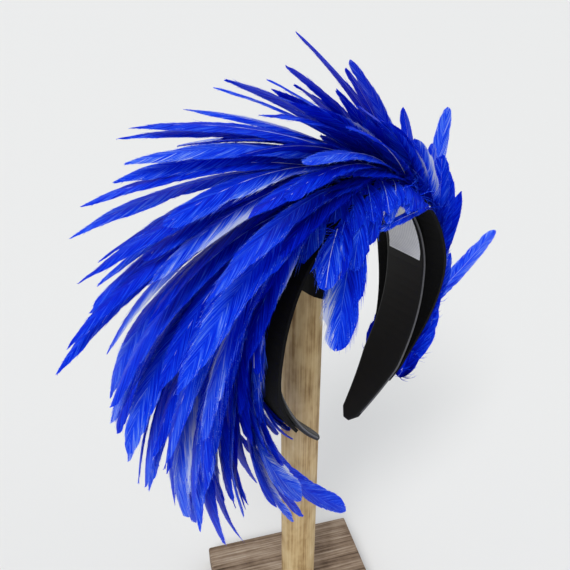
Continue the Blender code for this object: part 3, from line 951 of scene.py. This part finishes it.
# layers of noise: size in millimetres along X, Y and Z, detail, weight
# weave: direction of the threads, pitch in millimetres, weight
finishes = dict(
    # softwood rod, turned and sanded, never oiled: fine fibres along it, broad growth bands, grey
    # handling stains
    stand_post=dict(
        name="softwood rod, turned and sanded",
        layers=(((1.1, 1.1, 45), 4.0, 0.65), ((5, 5, 160), 2.0, 0.65), ((13, 13, 24), 3.0, 0.80)),
        colours=(
            (0.16, "#5E452A"), (0.36, "#9A7C50"), (0.52, "#BEA274"), (0.72, "#CFB78A"),
            (0.9, "#DFCCA6"),
        ),
        roughness=(0.78, 0.52), specular=0.32, bump=(0.45, 0.0004),
    ),
    # pine board, sawn and left to the weather: grey over brown, open grain, dark pores
    stand_base=dict(
        name="pine board, sawn and weathered",
        turn=-23.0,
        layers=(((60, 1.3, 1.6), 5.0, 1.05), ((150, 7, 7), 3.0, 0.75), ((22, 18, 18), 4.0, 0.55)),
        colours=(
            (0.14, "#2E231B"), (0.34, "#5F4D3E"), (0.52, "#86725F"), (0.70, "#A08E7B"),
            (0.9, "#BDB0A0"),
        ),
        roughness=(0.92, 0.74), specular=0.22, bump=(0.8, 0.0008),
    ),
    # hardwood block under brushed matt paint: black, hardly any shine
    stand_cap=dict(
        name="hardwood block, painted matt black",
        layers=(((0.8, 9, 9), 3.0, 0.8),),
        colours=((0.2, "#030304"), (0.8, "#09090A")),
        roughness=(0.85, 0.72), specular=0.15, bump=(0.2, 0.0001),
    ),
    # acetate satin drawn over the band and glued: black with a dull gleam and a fine warp
    band=dict(
        name="acetate satin, woven and glued round the band",
        layers=(((3, 3, 3), 2.0, 0.25),),
        weave=(("Y", 0.5, 0.35), ("DIAGONAL", 0.7, 0.20)),
        colours=((0.2, "#030304"), (0.8, "#0A0A0C")),
        roughness=(0.62, 0.44), specular=0.22, bump=(0.3, 0.00008),
    ),
    # wool felt, pressed and dyed: deep black, matt, slightly fuzzy
    backing=dict(
        name="wool felt, pressed and dyed",
        layers=(((0.7, 0.7, 0.7), 5.0, 1.1), ((6, 6, 6), 2.0, 0.4)),
        colours=((0.2, "#020203"), (0.8, "#0A0A0B")),
        roughness=(0.98, 0.92), specular=0.05, bump=(0.7, 0.0004), sheen=0.04,
    ),
)


def dressNodes():
    for name, settings in finishes.items():
        mesh = nodes[name].data
        mesh.materials.clear()
        mesh.materials.append(layeredFinish(**settings))
    print("dressed", len(finishes), "nodes")


stripCrease = 50.0  # degrees


# strips: a grid thickened by an extrusion, then laid along the arch
def archStrip(name, span, steps, rows, surface):
    bm = bmesh.new()
    bmesh.ops.create_grid(bm, x_segments=steps, y_segments=rows, size=1)
    raised = bmesh.ops.extrude_face_region(bm, geom=bm.faces[:])["geom"]
    for vert in raised:
        if isinstance(vert, bmesh.types.BMVert):
            vert.co.z = 1
    bm.verts.index_update()
    count = len(bm.verts)

    def place(face):  # the faces in the same order in each run
        low, middle, high = sorted(vert.index for vert in face.verts)[:3]
        return (low * count + middle) * count + high

    bm.faces.sort(key=place)
    for vert in bm.verts:
        along = (vert.co.x + 1) / 2
        share = span[0] + (span[1] - span[0]) * along
        vert.co = archPlace(share, *surface(share, along, vert.co.y, vert.co.z))
    bmesh.ops.recalc_face_normals(bm, faces=bm.faces)
    mesh = meshFrom(bm, name)
    mesh.shade_smooth()
    mesh.set_sharp_from_angle(angle=math.radians(stripCrease))
    return mesh


# binding: the satin's cut edge turned over along the band's front, coloured grey as a painted gleam,
# which shows as a thin light line
binding = dict(
    span=(0.022, 0.978),
    steps=110,
    rows=4,
    halfWidth=0.0005,
    out=0.0009,
    swell=0.0006,  # how far it stands out from the band's edge
    sunk=0.0002,
    # the band's own width, and the length over which it narrows to its tips
    bandWidth=0.028,
    tipWidth=0.011,
    taper=0.044,
)


def makeBinding():
    s = binding

    def surface(share, along, side, layer):
        fromTip = min(share, 1 - share) * arch["length"]
        edge = np.interp(fromTip, (0, s["taper"]), (s["tipWidth"] / 2, s["bandWidth"] / 2))
        depth = s["swell"] * (1 - side**2) if layer else -s["sunk"]
        return s["out"] + side * s["halfWidth"], -edge - depth

    # satin cut on the bias, turned over and stitched: the black satin is coloured grey, a painted gleam
    # where it bends
    material = layeredFinish(
        name="acetate satin bias, turned and stitched",
        layers=(((1.5, 1.5, 1.5), 2.0, 0.4),),
        colours=((0.2, "#2A2A2D"), (0.8, "#6C6C70")),
        roughness=(0.5, 0.35), specular=0.4, bump=(0.2, 0.0001),
    )
    mesh = archStrip("band_binding", s["span"], s["steps"], s["rows"], surface)
    newPiece("band_binding", mesh, material)
    print("made band_binding")


# label: white cloth, folded under and stitched at both ends, its free corner lifting off the band
label = dict(
    width=0.023,
    length=0.046,
    lowerEnd=0.70,  # share along the arch
    columns=40,
    rows=16,
    thickness=0.0004,
    clear=0.0004,  # between the band's inner face and the cloth
    fold=0.003,
    foldEdge=0.00025,
    foldLift=0.0003,
    ahead=0.0015,  # it sits nearer to the band's front edge
    lift=0.0012,  # of the lower end, most of all at its front corner
    liftReach=0.35,
    liftSides=(0.55, 0.45),
    wave=0.0002,
    waves=(9, 1.5),
    stitches=8,
    stitchSpan=0.92,
    stitchSize=(0.0009, 0.00022, 0.00016),
    stitchPlace=0.0019,
)


def labelSurface(share, along, side, layer):
    s = label
    fromEnd = min(along, 1 - along) * s["length"]
    folded = 1 / (1 + math.exp((fromEnd - s["fold"]) / s["foldEdge"]))
    middle, slant = s["liftSides"]
    bend = max(0.0, 1 - (1 - along) / s["liftReach"]) ** 2 * (middle - slant * side)
    ripple = s["wave"] * math.sin(along * s["waves"][0] + side * s["waves"][1])
    out = -s["clear"] - s["thickness"] - s["foldLift"] * folded - s["lift"] * bend + ripple
    return out + (layer - 0.5) * s["thickness"], side * s["width"] / 2 - s["ahead"]


def makeStitches(span):
    s = label
    bm = bmesh.new()
    long, wide, high = s["stitchSize"]
    for end in (s["stitchPlace"], s["length"] - s["stitchPlace"]):
        along = end / s["length"]
        share = span[0] + (span[1] - span[0]) * along
        flow, away = (Vector(v) for v in archFrame(share))
        for i in range(s["stitches"]):
            side = (2 * (i + 0.5) / s["stitches"] - 1) * s["stitchSpan"]
            place = Vector(archPlace(share, *labelSurface(share, along, side, 0)))
            for vert in bmesh.ops.create_icosphere(bm, subdivisions=1, radius=1)["verts"]:
                x, y, z = vert.co
                vert.co = place + Vector((0, x * long, 0)) + flow * (y * wide) + away * (z * high)
    bmesh.ops.recalc_face_normals(bm, faces=bm.faces)
    mesh = meshFrom(bm, "label_stitches")
    mesh.shade_smooth()
    # spun polyester thread: white, slightly glossy, pulled into the cloth
    thread = layeredFinish(
        name="polyester thread, spun",
        layers=(((0.4, 0.4, 0.4), 2.0, 0.5),),
        colours=((0.2, "#C6C6CC"), (0.8, "#EDEDF0")),
        roughness=(0.6, 0.45), specular=0.3, bump=(0.2, 0.0001),
    )
    return newPiece("label_stitches", mesh, thread)


def makeLabel():
    s = label
    span = (s["lowerEnd"] - s["length"] / arch["length"], s["lowerEnd"])
    mesh = archStrip("label_cloth", span, s["columns"], s["rows"], labelSurface)
    # polyester satin ribbon, woven and heat cut: white with a soft sheen, no print
    satin = layeredFinish(
        name="polyester satin, woven and heat cut",
        layers=(((5, 5, 5), 2.0, 0.35),),
        weave=(("Y", 0.55, 0.30), ("DIAGONAL", 0.8, 0.22)),
        colours=((0.2, "#C9CBD2"), (0.5, "#E2E3E8"), (0.8, "#F3F3F5")),
        roughness=(0.55, 0.38), specular=0.40, bump=(0.4, 0.0001), sheen=0.15,
    )
    cloth = newPiece("label_cloth", mesh, satin)
    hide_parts("label")
    makeStitches(span)
    print("made label_cloth and its stitches")


makeCamera()
makeStudio()
makePlumage(dyedFeather())
makeBinding()
makeLabel()
dressNodes()
